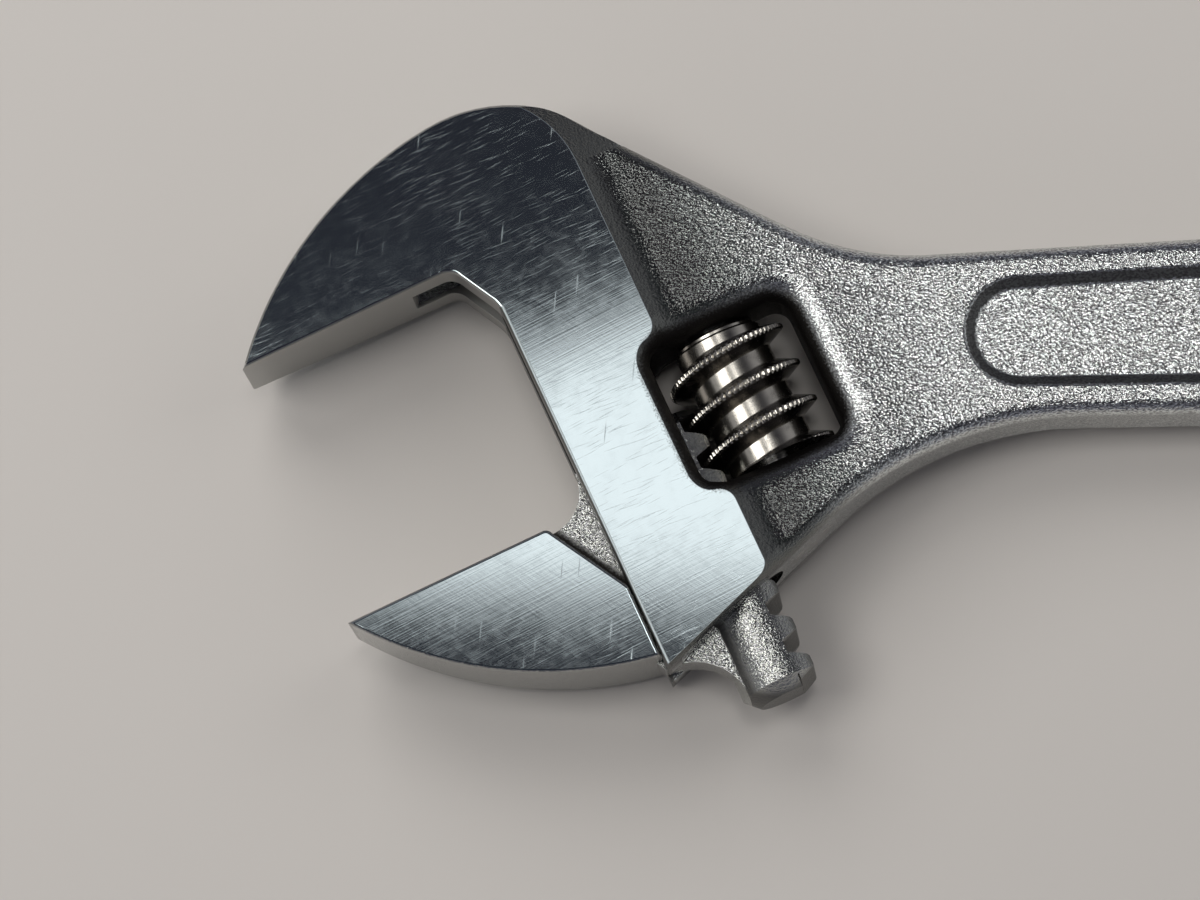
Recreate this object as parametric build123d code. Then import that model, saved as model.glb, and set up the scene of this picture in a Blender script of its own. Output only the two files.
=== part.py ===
from build123d import *
import math
import os

os.makedirs("parts", exist_ok=True)

# Adjustable wrench of the 200 mm size. All sizes in millimetres, angles in degrees.
# The head has its own axes: p runs along the jaw faces from the tips to the back, and q runs across
# them towards the crown. Both start where the fixed jaw's face would meet the head's front face.

# Overall
OVERALL_LENGTH = 203.0
HEAD_ANGLE = 23.0

# Fixed jaw and crown outline
JAW_REACH = 23.0
JAW_BACK_ANGLE = 51.0
JAW_BACK_RADIUS = 35.0
CROWN_ANGLE = 5.5
CROWN_RADIUS = 14.2
SHOULDER_ANGLE = 51.3
THROAT_RELIEF_ALONG_FACE = 2.6
THROAT_RELIEF_ALONG_FRONT = 4.8
THROAT_RADIUS = 1.6
THROAT_BLEND_RADIUS = 3.5

# Lower head, neck and handle outline
FRONT_LENGTH = 40.6
HEEL_ANGLE = 19.0
NECK_TOP_RADIUS = 26.0
NECK_BOTTOM_RADIUS = 32.0
HANDLE_DROP = 8.0
HANDLE_NECK_STATION = 50.0
HANDLE_NECK_WIDTH = 15.2
HANDLE_END_WIDTH = 20.5
HANDLE_END_RADIUS = 9.0

# Thicknesses: the polished faces are a slight wedge, the forging steps down behind them
HEAD_THICKNESS = 12.3
PAD_WEDGE_ANGLE = 3.3
PAD_WIDTH = 10.8
PAD_GRINDING = 0.5
PAD_CORNER_RADIUS = 8.6
PAD_CORNER_HEIGHT = 4.0
STEP_LENGTH = 2.4
STEP_THICKNESS = 11.6
STEP_CREST_RADIUS = 3.0
STEP_FOOT_RADIUS = 4.0
HANDLE_THICKNESS = 8.2
NECK_SLOPE_LENGTH = 18.0
NECK_SLOPE_RADIUS = 60.0
FORGING_EDGE_RADIUS = 1.4
JAW_EDGE_RADIUS = 0.28

# Handle panels and hang hole
PANEL_START = 42.8
PANEL_END = 160.0
PANEL_RIM = 2.45
PANEL_WALL = 1.1
PANEL_DEPTH = 0.95
PANEL_EDGE_RADIUS = 0.35
HANG_HOLE_DIAMETER = 9.0
HANG_HOLE_INSET = 11.5
HANG_HOLE_CHAMFER = 0.6

# Worm and its window
WORM_AXIS = 16.45
WORM_DIAMETER = 11.8
WORM_CORE_DIAMETER = 8.2
WORM_LENGTH = 12.7
WORM_TOP = 14.3
WORM_HUB_LENGTH = 1.6
THREAD_LEAD = 3.6
THREAD_CREST_WIDTH = 0.65
THREAD_ROOT_WIDTH = 2.2
THREAD_ROOT_SINK = 0.3
WORM_END_CLEARANCE = 0.35
WINDOW_SIDE_CLEARANCE = 0.95
WINDOW_RACK_SIDE = 9.8
WINDOW_CORNER_RADIUS = 1.6
WINDOW_EDGE_RADIUS = 2.5

# Pin and spring of the worm
PIN_DIAMETER = 4.0
PIN_RUNNING_CLEARANCE = 0.06
PIN_UPPER_DEPTH = 5.0
PIN_END_CLEARANCE = 0.2
PIN_FOOT_DIAMETER = 5.0
SPRING_WIRE = 0.5
SPRING_MEAN_RADIUS = 2.62
SPRING_HALF_TURNS = 7
SPRING_POCKET_RADIUS = 3.2
SPRING_POCKET_DEPTH = 4.0
SPRING_END_CLEARANCE = 0.05
SPRING_SAMPLES = 16

# Sliding jaw
JAW_OPENING = 24.8
SLIDING_JAW_REACH = 23.75
SLIDING_JAW_BACK_RADIUS = 36.0
SLIDING_JAW_HEIGHT = 14.4
SLIDING_JAW_FACE_END = 4.5
SLIDING_JAW_BEVEL_DROP = 7.6
SLIDING_JAW_CORNER_RADIUS = 0.7
FRONT_CLEARANCE = 0.12
WEB_THICKNESS = 4.5
WEB_SIDE_CLEARANCE = 0.15
WEB_TOP_RADIUS = 4.1
WEB_BOTTOM_RADIUS = 5.3
WEB_HEEL_STEP = 0.8

# Rack bar and its bore
BAR_AXIS = 8.9
BAR_DIAMETER = 8.0
BAR_CLEARANCE = 0.1
BAR_LENGTH = 26.9
BAR_BELOW_FACE = 21.6
BAR_END_CHAMFER = 1.2
RACK_ROOT = 1.25
RACK_TIP = 2.9
RACK_FLANK_CLEARANCE = 0.4
RACK_BACKLASH = 0.28
RACK_TIP_CHAMFER = 0.15
RACK_LAST_TOOTH = 1.45
BORE_END_CLEARANCE = 0.6
SLOT_MOUTH = 6.6
SLOT_CUTTER_RADIUS = 19.5
SLOT_CUTTER_AXIS = 7.5

# Tolerance for finding an edge
SEAM = 0.01
ON_FLOOR = (Align.CENTER, Align.CENTER, Align.MIN)

# Lengths that only have to reach past the head, and past the whole tool
past_head = FRONT_LENGTH + JAW_REACH
past_tool = 2 * OVERALL_LENGTH


def heading(angle):
    """Unit step at an angle from the p axis."""
    return Vector(math.cos(math.radians(angle)), math.sin(math.radians(angle)))


def crossing(point_a, angle_a, point_b, angle_b):
    """Point where two lines in the p, q plane meet."""
    along_a = heading(angle_a)
    along_b = heading(angle_b)
    apart = Vector(point_b) - Vector(point_a)
    determinant = along_b.X * along_a.Y - along_a.X * along_b.Y
    run = (along_b.X * apart.Y - along_b.Y * apart.X) / determinant
    return Vector(point_a) + along_a * run


def pad_height(p):
    """Half thickness of the polished wedge at p."""
    return HEAD_THICKNESS / 2 + p * math.tan(math.radians(PAD_WEDGE_ANGLE))


def through(face, half_depth=past_head):
    """Prism of a flat outline, to both sides of the wrench's middle plane."""
    return extrude(face, amount=half_depth, both=True)


def across(points, radii):
    """Prism along q of a half profile in p and z, mirrored in the middle plane."""
    lower = [(p, -z) for p, z in reversed(points)]
    ends = [0]
    loop = FilletPolyline(*points, *lower, radius=ends + radii + ends * 2 + radii[::-1] + ends, close=True)
    profile_plane = Plane(origin=(0, 0, 0), x_dir=(1, 0, 0), z_dir=(0, -1, 0))
    return extrude(profile_plane * make_face(loop), amount=past_tool / 2, both=True)


def rod(p, q_from, q_to, radius):
    """Round rod along q on the middle plane."""
    seat = Plane(origin=(p, q_from, 0), x_dir=(1, 0, 0), z_dir=(0, 1, 0))
    return extrude(seat * Circle(radius), amount=q_to - q_from)


def handle_point(station, offset):
    """Point of the handle, by its distance along the handle and its offset from the centre line."""
    along = heading(-HEAD_ANGLE)
    aside = heading(90 - HEAD_ANGLE)
    return along * station + aside * (offset - HANDLE_DROP)


jaw_tip = Vector(-JAW_REACH, 0)
handle_end = OVERALL_LENGTH - JAW_REACH * math.cos(math.radians(HEAD_ANGLE))
handle_flare = math.atan2(HANDLE_END_WIDTH - HANDLE_NECK_WIDTH, 2 * (handle_end - HANDLE_NECK_STATION))


def handle_half_width(station):
    """Half width of the handle, which widens evenly from the neck to the end."""
    return HANDLE_NECK_WIDTH / 2 + (station - HANDLE_NECK_STATION) * math.tan(handle_flare)


worm_top = -WORM_TOP
worm_bottom = worm_top - WORM_LENGTH
window_top = worm_top + WORM_END_CLEARANCE
window_bottom = worm_bottom - WORM_END_CLEARANCE
window_right = WORM_AXIS + WORM_DIAMETER / 2 + WINDOW_SIDE_CLEARANCE
bar_bottom = -JAW_OPENING - BAR_BELOW_FACE
bar_top = bar_bottom + BAR_LENGTH
bore_top = bar_top + JAW_OPENING + BORE_END_CLEARANCE
pocket_floor = worm_top - SPRING_POCKET_DEPTH
rack_tooth_centre = bar_bottom + RACK_LAST_TOOTH
thread_centre = rack_tooth_centre + RACK_BACKLASH
worm_place = Plane(origin=(WORM_AXIS, 0, 0), x_dir=(1, 0, 0), z_dir=(0, 1, 0))
heel_corner = Vector(0, -FRONT_LENGTH)
neck_lower_corner = crossing(
    heel_corner,
    HEEL_ANGLE,
    handle_point(HANDLE_NECK_STATION, -HANDLE_NECK_WIDTH / 2),
    -HEAD_ANGLE - math.degrees(handle_flare),
)
pad_wedge = across([(-past_head, pad_height(-past_head)), (past_tool, pad_height(past_tool))], [])


def body_outline():
    """Outline of the forging before its mouth is cut: jaw back, crown, shoulder, neck, handle and heel."""
    lead_in = Line(jaw_tip - heading(JAW_BACK_ANGLE) * CROWN_RADIUS, jaw_tip)
    jaw_back = JernArc(jaw_tip, heading(JAW_BACK_ANGLE), JAW_BACK_RADIUS, CROWN_ANGLE - JAW_BACK_ANGLE)
    crown = JernArc(jaw_back @ 1, heading(CROWN_ANGLE), CROWN_RADIUS, -CROWN_ANGLE - SHOULDER_ANGLE)
    neck_upper_corner = crossing(
        crown @ 1,
        -SHOULDER_ANGLE,
        handle_point(HANDLE_NECK_STATION, HANDLE_NECK_WIDTH / 2),
        -HEAD_ANGLE + math.degrees(handle_flare),
    )
    rest = FilletPolyline(
        crown @ 1,
        neck_upper_corner,
        handle_point(handle_end, HANDLE_END_WIDTH / 2),
        handle_point(handle_end, -HANDLE_END_WIDTH / 2),
        neck_lower_corner,
        heel_corner - heading(HEEL_ANGLE) * CROWN_RADIUS,
        radius=[NECK_TOP_RADIUS, HANDLE_END_RADIUS, HANDLE_END_RADIUS, NECK_BOTTOM_RADIUS],
    )
    closing = Line(rest @ 1, lead_in @ 0)
    return make_face([*lead_in.edges(), *jaw_back.edges(), *crown.edges(), *rest.edges(), *closing.edges()])


def body_profile():
    """Side profile of the forging: raised head, step down behind it, sloping neck and flat handle."""
    step_foot = PAD_WIDTH + STEP_LENGTH
    return across(
        [
            (-past_head, pad_height(-past_head) + PAD_GRINDING),
            (PAD_WIDTH, pad_height(PAD_WIDTH) + PAD_GRINDING),
            (step_foot, STEP_THICKNESS / 2),
            (step_foot + NECK_SLOPE_LENGTH, HANDLE_THICKNESS / 2),
            (past_tool, HANDLE_THICKNESS / 2),
        ],
        [STEP_CREST_RADIUS, STEP_FOOT_RADIUS, NECK_SLOPE_RADIUS],
    )


def crown_corner():
    """Metal above a cone that carries the step round the crown in place of a sharp corner."""
    step_top = pad_height(PAD_WIDTH) + PAD_GRINDING
    step_slope = (step_top - STEP_THICKNESS / 2) / STEP_LENGTH
    cone_reach = PAD_CORNER_RADIUS + step_top / step_slope
    centre = Pos(PAD_WIDTH - PAD_CORNER_RADIUS, PAD_CORNER_HEIGHT)
    cone = Cone(cone_reach, PAD_CORNER_RADIUS, step_top, align=ON_FLOOR)
    quarter = Box(past_head, past_head, past_head, align=(Align.MIN, Align.MIN, Align.MIN))
    core = Cylinder(PAD_CORNER_RADIUS, past_head, align=ON_FLOOR)
    return centre * (quarter - cone - core)


def mouth():
    """Space cut for the jaws: fixed jaw face, relieved throat and the head's front face."""
    loop = FilletPolyline(
        (-past_head, 0),
        (-THROAT_RELIEF_ALONG_FACE, 0),
        (0, -THROAT_RELIEF_ALONG_FRONT),
        (0, -past_head),
        (-past_head, -past_head),
        radius=[0, THROAT_RADIUS, THROAT_BLEND_RADIUS, 0, 0],
        close=True,
    )
    return through(make_face(loop))


def worm_window():
    """Through window that the worm is turned in."""
    width = window_right - WINDOW_RACK_SIDE
    height = window_top - window_bottom
    middle = Location(((window_right + WINDOW_RACK_SIDE) / 2, (window_top + window_bottom) / 2))
    return through(middle * RectangleRounded(width, height, WINDOW_CORNER_RADIUS))


def jaw_guide():
    """Round bore for the rack bar, with the slot that lets the web out through the front."""
    bore = rod(BAR_AXIS, -past_head, bore_top, BAR_DIAMETER / 2 + BAR_CLEARANCE)
    cutter_drop = math.sqrt(SLOT_CUTTER_RADIUS**2 - (SLOT_CUTTER_AXIS + SLOT_MOUTH) ** 2)
    in_front_of_bar = Pos(BAR_AXIS - past_head / 2) * Rectangle(past_head, 2 * past_head)
    slot_end = (Pos(SLOT_CUTTER_AXIS, -cutter_drop) * Circle(SLOT_CUTTER_RADIUS)) & in_front_of_bar
    slot_run = Pos(BAR_AXIS - past_head / 2, -cutter_drop - past_head / 2) * Rectangle(past_head, past_head)
    return bore + through(slot_end + slot_run, WEB_THICKNESS / 2 + WEB_SIDE_CLEARANCE)


def pin_seat():
    """Hole for the worm's pin: blind above the window, wider for the pin's foot below it."""
    upper = rod(WORM_AXIS, window_bottom, window_top + PIN_UPPER_DEPTH, PIN_DIAMETER / 2)
    lower = rod(WORM_AXIS, -past_head, window_bottom + WORM_END_CLEARANCE, PIN_FOOT_DIAMETER / 2)
    return upper + lower


def handle_panel():
    """Shallow sunk panel with sloping walls and round ends, for one face of the handle."""
    outer_start = handle_half_width(PANEL_START) - PANEL_RIM
    outer_end = handle_half_width(PANEL_END) - PANEL_RIM

    def outline(inset, height):
        start = Location((PANEL_START + outer_start, 0)) * Circle(outer_start - inset)
        end = Location((PANEL_END - outer_end, 0)) * Circle(outer_end - inset)
        return Location((0, -HANDLE_DROP, height)) * make_hull([*start.edges(), *end.edges()])

    surface = HANDLE_THICKNESS / 2
    floor = outline(PANEL_WALL, surface - PANEL_DEPTH)
    rim = outline(0, surface)
    return loft([floor.face(), rim.face()], ruled=True)


def is_across(edge):
    """True for edges of the profile that run straight along q."""
    return edge.geom_type == GeomType.LINE and abs((edge % 0.5).Y) > 1 - SEAM


def in_mouth(point):
    """True on the raw side that the mouth removes, and on its walls."""
    return point.X < SEAM and point.Y < SEAM


def on_pad(point):
    """True on the polished faces."""
    return abs(abs(point.Z) - pad_height(point.X)) < SEAM


def in_window(point):
    """True on the walls of the worm window."""
    along = WINDOW_RACK_SIDE - SEAM < point.X < window_right + SEAM
    return along and window_bottom - SEAM < point.Y < window_top + SEAM


def on_panel_rim(point):
    """True on the edge between a sunk panel and the handle's flat face."""
    in_handle = point.rotate(Axis.Z, HEAD_ANGLE)
    offset = abs(in_handle.Y + HANDLE_DROP)
    inside = PANEL_START - SEAM < in_handle.X < PANEL_END + SEAM
    inside = inside and offset < handle_half_width(in_handle.X) - PANEL_RIM + PANEL_EDGE_RADIUS
    return inside and abs(abs(point.Z) - HANDLE_THICKNESS / 2) < SEAM


def upper_and_lower(edges):
    """Edges near the two broad faces, leaving out the upright ones between them."""
    return [edge for edge in edges if abs((edge @ 0.5).Z) > HANDLE_THICKNESS / 4]


def forged_body():
    """Handle, neck and fixed jaw in one forging, ground on the head's faces and machined for its pieces."""
    body = through(body_outline()) & body_profile()
    rims = upper_and_lower(body.edges())
    outer_rims = [edge for edge in rims if not is_across(edge) and not in_mouth(edge @ 0.5)]
    body = fillet(outer_rims, FORGING_EDGE_RADIUS)

    corner = crown_corner()
    body = body - corner - mirror(corner, about=Plane.XY)

    body -= worm_window()
    rims = upper_and_lower(body.edges())
    window_rims = [edge for edge in rims if all(in_window(edge @ share) for share in (0, 0.5, 1))]
    body = fillet(window_rims, WINDOW_EDGE_RADIUS)

    body = (body & pad_wedge) - mouth()
    ground_rims = [edge for edge in body.edges() if on_pad(edge @ 0.5) and in_mouth(edge @ 0.5)]
    body = fillet(ground_rims, JAW_EDGE_RADIUS)
    body = body - jaw_guide() - pin_seat()

    to_head = Rot(0, 0, -HEAD_ANGLE)
    panel = to_head * handle_panel()
    body = body - panel - mirror(panel, about=Plane.XY)
    panel_rims = [edge for edge in body.edges() if on_panel_rim(edge @ 0.5)]
    body = fillet(panel_rims, PANEL_EDGE_RADIUS)

    hole_place = to_head * Pos(handle_end - HANG_HOLE_INSET, -HANDLE_DROP)
    body -= hole_place * Cylinder(HANG_HOLE_DIAMETER / 2, past_head)
    hole_centre = hole_place.position
    hole_rims = [
        edge
        for edge in upper_and_lower(body.edges().filter_by(GeomType.CIRCLE))
        if abs(edge.radius - HANG_HOLE_DIAMETER / 2) < SEAM
        and abs((edge.arc_center - hole_centre).X) < SEAM
    ]
    return chamfer(hole_rims, HANG_HOLE_CHAMFER)


def jaw_block():
    """Block of the sliding jaw: gripping face, bevelled throat corner and curved back, on the head's wedge."""
    tip = Vector(-SLIDING_JAW_REACH, -JAW_OPENING)
    face_end = Vector(-SLIDING_JAW_FACE_END, -JAW_OPENING)
    bevel_end = Vector(-FRONT_CLEARANCE, -JAW_OPENING - SLIDING_JAW_BEVEL_DROP)
    heel = Vector(-FRONT_CLEARANCE, -JAW_OPENING - SLIDING_JAW_HEIGHT)
    front = FilletPolyline(tip, face_end, bevel_end, heel, radius=SLIDING_JAW_CORNER_RADIUS)
    back = RadiusArc(heel, tip, SLIDING_JAW_BACK_RADIUS)
    block = through(make_face([*front.edges(), *back.edges()])) & pad_wedge
    return fillet([edge for edge in block.edges() if on_pad(edge @ 0.5)], JAW_EDGE_RADIUS)


def jaw_web():
    """Flat web from the block through the head's slot to the rack bar, hollowed above and below."""
    bar_side = BAR_AXIS - math.sqrt(BAR_DIAMETER**2 - WEB_THICKNESS**2) / 2
    top_start = Vector(-FRONT_CLEARANCE - WEB_TOP_RADIUS, -JAW_OPENING)
    top = JernArc(top_start, (1, 0), WEB_TOP_RADIUS, 90)
    bottom_end = -JAW_OPENING - SLIDING_JAW_HEIGHT - WEB_HEEL_STEP
    bottom = JernArc((bar_side, bottom_end - WEB_BOTTOM_RADIUS), (0, 1), WEB_BOTTOM_RADIUS, 90)
    in_block = Vector(-SLIDING_JAW_FACE_END, -JAW_OPENING - SLIDING_JAW_BEVEL_DROP)
    behind = Polyline(
        top @ 1,
        (BAR_AXIS, (top @ 1).Y),
        (BAR_AXIS, (bottom @ 0).Y),
        bottom @ 0,
    )
    front = Polyline(
        bottom @ 1,
        (-FRONT_CLEARANCE, bottom_end),
        in_block,
        top_start,
    )
    outline = make_face([*top.edges(), *behind.edges(), *bottom.edges(), *front.edges()])
    return through(outline, WEB_THICKNESS / 2)


def thread_half_width(radius):
    """Half the axial width of the worm's thread at a radius, straight from root to crest."""
    depth = (WORM_DIAMETER - WORM_CORE_DIAMETER) / 2
    flank = (THREAD_ROOT_WIDTH - THREAD_CREST_WIDTH) / 2 / depth
    return THREAD_CREST_WIDTH / 2 + (WORM_DIAMETER / 2 - radius) * flank


def rack_gap(centre):
    """One gap between rack teeth, which takes the worm's thread and leans with its lead."""
    root = BAR_AXIS + RACK_ROOT
    tip = BAR_AXIS + RACK_TIP
    shoulder = tip - RACK_TIP_CHAMFER

    def half_gap(p):
        return thread_half_width(WORM_AXIS - p) + RACK_FLANK_CLEARANCE

    lean = THREAD_LEAD / (math.pi * (WORM_DIAMETER + WORM_CORE_DIAMETER) / 2)
    low = centre - BAR_DIAMETER / 2 * lean
    side = [
        (root, half_gap(root)),
        (shoulder, half_gap(shoulder)),
        (tip, half_gap(tip) + RACK_TIP_CHAMFER),
        (BAR_AXIS + BAR_DIAMETER, half_gap(tip) + RACK_TIP_CHAMFER),
    ]
    loop = [(p, low - half) for p, half in side] + [(p, low + half) for p, half in reversed(side)]
    section = Pos(0, 0, -BAR_DIAMETER / 2) * make_face(Polyline(*loop, close=True))
    return extrude(section, amount=BAR_DIAMETER * math.hypot(1, lean), dir=(0, lean, 1))


def rack_bar():
    """Round bar with rack teeth cut along its back."""
    bar = rod(BAR_AXIS, bar_bottom, bar_top, BAR_DIAMETER / 2)
    bar = chamfer(bar.edges().filter_by(GeomType.CIRCLE), BAR_END_CHAMFER)
    tip = BAR_AXIS + RACK_TIP
    beyond_tips = Pos(tip + BAR_DIAMETER / 2, (bar_bottom + bar_top) / 2)
    bar -= beyond_tips * Box(BAR_DIAMETER, past_tool, BAR_DIAMETER)
    gap_count = math.ceil(BAR_LENGTH / THREAD_LEAD) + 1
    first_gap = rack_tooth_centre - THREAD_LEAD / 2
    return bar - [rack_gap(first_gap + index * THREAD_LEAD) for index in range(gap_count)]


def sliding_jaw():
    """Jaw block, web and rack bar in one piece."""
    return jaw_block() + jaw_web() + rack_bar()


def worm_thread():
    """Single-start right-hand thread along z, as a closed band between four helices."""
    turns_below = math.floor((worm_bottom - thread_centre) / THREAD_LEAD - 1)
    start = thread_centre + THREAD_LEAD * turns_below
    height = THREAD_LEAD * math.ceil((worm_top - start) / THREAD_LEAD + 1)
    root = WORM_CORE_DIAMETER / 2 - THREAD_ROOT_SINK
    crest = WORM_DIAMETER / 2
    corners = [
        (root, -thread_half_width(root)),
        (crest, -THREAD_CREST_WIDTH / 2),
        (crest, THREAD_CREST_WIDTH / 2),
        (root, thread_half_width(root)),
    ]
    helices = [Helix(THREAD_LEAD, height, radius, center=(0, 0, start + rise)) for radius, rise in corners]
    neighbours = zip(helices, helices[1:] + helices[:1])
    bands = [Face.make_surface_from_curves(one.edge(), other.edge()) for one, other in neighbours]
    caps = [make_face(Polyline(*[helix @ end for helix in helices], close=True)).face() for end in (0, 1)]
    return Solid(Shell([*bands, *caps]))


def knurled_worm():
    """Worm with a plain hub at its upper end, a bore for the pin and a pocket for the spring."""
    core = Pos(0, 0, worm_bottom) * Cylinder(WORM_CORE_DIAMETER / 2, WORM_LENGTH, align=ON_FLOOR)
    threaded = Pos(0, 0, worm_bottom) * Cylinder(past_head, WORM_LENGTH - WORM_HUB_LENGTH, align=ON_FLOOR)
    worm = core + (threaded & worm_thread())
    worm -= Pos(0, 0, worm_bottom) * Cylinder(PIN_DIAMETER / 2 + PIN_RUNNING_CLEARANCE, past_tool)
    worm -= Pos(0, 0, pocket_floor) * Cylinder(SPRING_POCKET_RADIUS, past_tool, align=ON_FLOOR)
    return worm_place * worm


def worm_pin():
    """Pin that carries the worm, pressed in from below and dressed flush with the head's lower wall."""
    pin_top = window_top + PIN_UPPER_DEPTH - PIN_END_CLEARANCE
    shank = rod(WORM_AXIS, window_bottom, pin_top, PIN_DIAMETER / 2)
    foot = rod(WORM_AXIS, -past_head, window_bottom, PIN_FOOT_DIAMETER / 2)
    return (shank + foot) & through(body_outline())


def worm_spring():
    """Coil round the pin, each half turn one tilted half circle, all meeting in line."""
    low = pocket_floor + SPRING_WIRE / 2 + SPRING_END_CLEARANCE
    high = window_top - SPRING_WIRE / 2 - SPRING_END_CLEARANCE
    rise = (high - low) / SPRING_HALF_TURNS
    half_turns = []
    for index in range(SPRING_HALF_TURNS):
        side = 1 if index % 2 == 0 else -1
        start = Vector(side * SPRING_MEAN_RADIUS, 0, low + index * rise)
        end = Vector(-side * SPRING_MEAN_RADIUS, 0, low + (index + 1) * rise)
        middle = (start + end) * 0.5 + Vector(0, side * (start - end).length / 2, 0)
        half_turns.append(ThreePointArc(start, middle, end).edge())
    samples = [turn @ (step / SPRING_SAMPLES) for turn in half_turns for step in range(SPRING_SAMPLES)]
    apart = [
        (samples[one] - samples[other]).length
        for one in range(len(samples))
        for other in range(one + SPRING_SAMPLES, len(samples))
    ]
    print("worm_spring least gap to itself:", round(min(apart) - SPRING_WIRE, 3))
    path = Wire(half_turns)
    section = Plane(origin=path @ 0, z_dir=path % 0) * Circle(SPRING_WIRE / 2)
    return worm_place * sweep(section, path=path)


pieces = {
    "forged_body": forged_body(),
    "sliding_jaw": sliding_jaw(),
    "knurled_worm": knurled_worm(),
    "worm_pin": worm_pin(),
    "worm_spring": worm_spring(),
}

# The finished wrench lies flat: the handle runs along x, the faces look up and down along z, and the
# origin is under the middle of the whole tool.
turned = {name: Rot(0, 0, HEAD_ANGLE) * piece for name, piece in pieces.items()}
extent = turned["forged_body"].bounding_box().add(turned["sliding_jaw"].bounding_box())
underside = min(corner.Z for corner in turned["forged_body"].vertices())
to_origin = Pos(-extent.center().X, -extent.center().Y, -underside)
for name, piece in turned.items():
    export_step(to_origin * piece, f"parts/{name}.step")
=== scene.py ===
import bmesh
import bpy
import math
import numpy as np
from mathutils import Matrix, Vector


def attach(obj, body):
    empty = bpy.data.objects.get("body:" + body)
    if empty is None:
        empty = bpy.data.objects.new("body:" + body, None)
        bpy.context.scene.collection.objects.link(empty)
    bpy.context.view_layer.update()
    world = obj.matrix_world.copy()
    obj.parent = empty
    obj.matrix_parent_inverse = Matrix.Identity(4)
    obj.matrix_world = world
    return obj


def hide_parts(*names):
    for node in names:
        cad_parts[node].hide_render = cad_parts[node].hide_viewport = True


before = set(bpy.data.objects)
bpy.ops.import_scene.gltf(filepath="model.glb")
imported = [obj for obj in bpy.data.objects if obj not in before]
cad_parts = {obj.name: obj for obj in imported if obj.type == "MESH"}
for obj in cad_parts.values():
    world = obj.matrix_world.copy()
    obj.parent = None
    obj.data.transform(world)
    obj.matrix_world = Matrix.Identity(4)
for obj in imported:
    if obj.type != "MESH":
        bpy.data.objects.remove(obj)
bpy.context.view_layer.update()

# The forged body: handle, neck and fixed jaw in one drop forging, blasted to a fine grain and chrome
# plated. The head's broad faces are ground to a slight wedge and polished, the jaw's mouth is milled.
# Shade is painted dark into the worm's window, the bar's bore and slot, the head's front face and the wall of
# the handle's recess.

MM_PER_METRE = 1000.0
HEAD_ANGLE = math.radians(23.0)
HEAD_ORIGIN_MM = Vector((-80.32839, 13.24135, 6.81559))
HEAD_HALF_THICKNESS_MM = 6.15
PAD_WEDGE = math.tan(math.radians(3.3))
PAD_TOLERANCE_MM = 0.03
MOUTH_EDGE_MM = 0.34
BORE_AXIS_MM = 8.9
BORE_RADIUS_MM = 4.2
SLOT_HALF_MM = 2.45
SLOT_FRONT_MM = 0.05
# Painted shade in the bar's bore and slot, in the worm's window, on the head's front face and on the recess
# wall.
CHANNEL_SHADE_MM = (-31.0, -18.0)
CHANNEL_TOP_MM = 6.1
WINDOW_MIDDLE_MM = (16.55, -20.68)
WINDOW_STRAIGHT_MM = (4.35, 4.33)
WINDOW_SHADE_MM = (3.0, 3.9)
WINDOW_RAGGED_MM = 0.9
FRONT_SHADE_FROM_MM = -5.0
FRONT_SHADE = 0.55
HANDLE_DROP_MM = 8.0
RECESS_STATION_MM = (42.3, 160.5)
RECESS_HALF_MM = 4.2
RECESS_FLARE = 0.0199
RECESS_WALL_MM = (3.27, 4.0)
RECESS_RAGGED_MM = 0.5
RECESS_SHADE = 0.8

GRAIN_PER_MM = 5.6
GRAIN_STRETCH = (1.4, 1.0, 1.0)
SWELL_PER_MM = GRAIN_PER_MM * 0.35
SWELL_SHARE = 0.3
PIT_EDGE = (0.40, 0.58)
FORGED_RELIEF_M = 0.00008
SATIN_LEAST_ROUGHNESS = 0.08
SATIN_ROUGHNESS_SPREAD = 0.12

BRUSH_STRETCH = (9.0, 0.12, 9.0)
BRUSH_TURN = 0.03
RUB_STRETCH = (0.25, 3.0, 3.0)
RUB_TURN = 0.5
RUB_SHARE = 0.6
BRUSH_RELIEF_M = 0.0000006
HAZE_PER_MM = 0.25
HAZE_EDGE = (0.35, 0.75)
MOTTLE_PER_MM = 1.1
MOTTLE_EDGE = (0.42, 0.7)
POLISH_ROUGHNESS = 0.045
HAZE_ROUGHNESS = 0.015
MOTTLE_ROUGHNESS = 0.018

SCRATCHES_ALONG = {"turn": 0.05, "length": 8.0, "width": 0.2, "reach": 0.13}
SCRATCHES_CROSSING = {"turn": -0.10, "length": 15.0, "width": 0.3, "reach": 0.10}
SCRATCHES_STEEP = {"turn": 1.05, "length": 24.0, "width": 1.6, "reach": 0.05}
SCRATCH_ROUGHNESS = 0.24
WEAR_PER_MM = 0.09
WEAR_PATCH = (0.42, 0.6)
WEAR_LEAST = 0.3
WORN_EDGE_MM = (3.0, 9.5)

GROUND_ROUGHNESS = 0.32
PAINTED_SHADE_ROUGHNESS = 0.55
# Painted shade: the grain of the broad faces darkened near the worm, lighter towards the neck.
NEAR_WORM_SHADE_MM = (15.0, 27.0)
NEAR_WORM_SHADE_FACE_MM = (3.0, 4.6)
NEAR_WORM_SHADE = 0.95
SATIN_COLOUR = (0.79, 0.825, 0.815, 1.0)
PIT_COLOUR = (0.38, 0.385, 0.385, 1.0)
NEAR_WORM_SHADE_COLOUR = (0.13, 0.135, 0.13, 1.0)
POLISH_COLOUR = (0.555, 0.63, 0.65, 1.0)
GROUND_COLOUR = (0.40, 0.40, 0.385, 1.0)
# Painted shade: near-black for the openings, recesses and corners where shade falls.
PAINTED_SHADE_COLOUR = (0.035, 0.032, 0.03, 1.0)


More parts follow.
